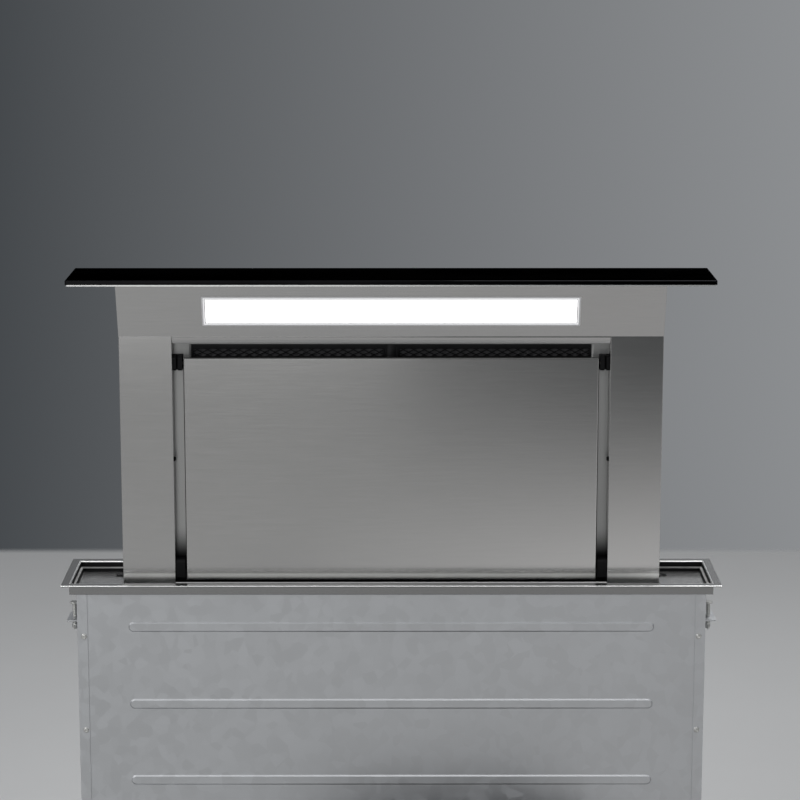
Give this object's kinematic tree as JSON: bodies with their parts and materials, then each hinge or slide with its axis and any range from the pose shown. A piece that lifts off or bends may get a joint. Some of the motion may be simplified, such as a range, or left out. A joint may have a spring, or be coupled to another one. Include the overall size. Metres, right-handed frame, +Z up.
{
  "type": "downdraft vent",
  "caption": "Rising downdraft cooker vent: brushed steel column with lamp head and black glass lid, worktop tray, casing with belt lift, fan and duct collar below.",
  "frame": {"origin": "middle of the footprint of the whole unit, at the floor under the levelling feet", "axes": "+Z up, +Y towards the back, +X to the right seen from the front; the column is drawn raised"},
  "size_m": [0.9, 0.3148, 1.12],
  "materials": {
    "brushed_panels": "horizontal brush lines, satin",
    "brushed_column": "brushed, satin",
    "inner_steel": "satin sheet",
    "tray_steel": "fine brush lines along the flange",
    "casing_steel": "zinc coated sheet with a faint spangle",
    "fastener_steel": "bright zinc",
    "black_glass": "polished, back painted black",
    "lamp_trim": "satin",
    "lamp_white": "opal diffuser, lit",
    "circuit_board": "white board with yellow chips",
    "seal_rubber": "matt black",
    "core_foam": "grey honeycomb core",
    "filter_aluminium": "layered expanded mesh",
    "rail_aluminium": "mill finish",
    "slide_plastic": "natural low friction plastic",
    "motor_metal": "black enamel",
    "fan_plastic": "fine moulded grain",
    "impeller_plastic": "moulded"
  },
  "bodies": {
    "casing": {"tray_frame": "tray_steel", "tray_floor": "tray_steel", "casing_back": "casing_steel", "casing_front": "casing_steel", "casing_side_left": "casing_steel", "casing_side_right": "casing_steel", "casing_base": "casing_steel", "worktop_clamps": "casing_steel", "fan_cover": "casing_steel", "control_lid": "casing_steel", "control_box": "casing_steel", "fan_stand": "casing_steel", "casing_screws": "fastener_steel", "levelling_feet": "fastener_steel", "clamp_screws": "fastener_steel", "flap_pin": "fastener_steel", "tray_seal": "seal_rubber", "worktop_tape": "seal_rubber", "lift_belts": "seal_rubber", "guide_rails": "rail_aluminium", "idler_brackets": "rail_aluminium", "shaft_bearings": "rail_aluminium", "end_sensors": "slide_plastic", "lift_motor": "motor_metal", "lift_gearbox": "motor_metal", "fan_motor": "motor_metal", "fan_scroll": "fan_plastic", "inlet_ring": "fan_plastic", "outlet_collar": "fan_plastic", "mains_gland": "fan_plastic"},
    "column": {"pillar_left": "brushed_column", "pillar_right": "brushed_column", "rear_skin": "inner_steel", "lower_skin": "inner_steel", "column_foot": "inner_steel", "column_sill": "brushed_column", "top_rail": "brushed_column", "filter_frame": "inner_steel", "filter_left": "filter_aluminium", "filter_right": "filter_aluminium", "head_shell": "brushed_column", "lamp_bezel": "lamp_trim", "lamp_diffuser": "lamp_white", "led_board": "circuit_board", "cover_plate": "inner_steel", "glass_lid": "black_glass", "panel_catches": "inner_steel", "hinge_brackets": "inner_steel", "carriages": "rail_aluminium", "guide_shoes": "slide_plastic", "belt_clamps": "rail_aluminium"},
    "front_panel": {"front_panel": "brushed_panels", "panel_core": "core_foam", "hinge_pins": "fastener_steel"},
    "drive_shaft": {"drive_shaft": "fastener_steel"},
    "idler_left": {"idler_left": "slide_plastic"},
    "idler_right": {"idler_right": "slide_plastic"},
    "impeller": {"impeller": "impeller_plastic"},
    "flap_front": {"flap_front": "fan_plastic"},
    "flap_rear": {"flap_rear": "fan_plastic"}
  },
  "joints": [
    {"name": "column_lift", "type": "slide", "parent": "casing", "child": "column", "axis": [0, 0, 1], "range_m": [-0.418, 0]},
    {"name": "panel_tilt", "type": "hinge", "parent": "column", "child": "front_panel", "pos_m": [0, 0.0694, 0.7086], "axis": [1, 0, 0], "range_deg": [0, 60]},
    {"name": "drive_shaft_turn", "type": "hinge", "parent": "casing", "child": "drive_shaft", "pos_m": [0, 0.1224, 0.095], "axis": [1, 0, 0], "range_deg": [-2, 1850]},
    {"name": "idler_left_turn", "type": "hinge", "parent": "casing", "child": "idler_left", "pos_m": [-0.389, 0.1224, 0.66], "axis": [1, 0, 0], "range_deg": [-2, 1850]},
    {"name": "idler_right_turn", "type": "hinge", "parent": "casing", "child": "idler_right", "pos_m": [0.389, 0.1224, 0.66], "axis": [1, 0, 0], "range_deg": [-2, 1850]},
    {"name": "impeller_spin", "type": "hinge", "parent": "casing", "child": "impeller", "pos_m": [0, -0.0504, 0.195], "axis": [0, 1, 0], "continuous": true},
    {"name": "flap_front_swing", "type": "hinge", "parent": "casing", "child": "flap_front", "pos_m": [0.24, -0.0504, 0.284], "axis": [0, 0, 1], "range_deg": [0, 75], "stiffness_Nm_per_rad": 0.02},
    {"name": "flap_rear_swing", "type": "hinge", "parent": "casing", "child": "flap_rear", "pos_m": [0.24, -0.0504, 0.284], "axis": [0, 0, 1], "range_deg": [-75, 0], "stiffness_Nm_per_rad": 0.02}
  ],
  "couplings": [
    {"joint": "drive_shaft_turn", "follows": "column_lift", "rad_per_m": -76.923},
    {"joint": "idler_left_turn", "follows": "column_lift", "rad_per_m": -76.923},
    {"joint": "idler_right_turn", "follows": "column_lift", "rad_per_m": -76.923}
  ]
}
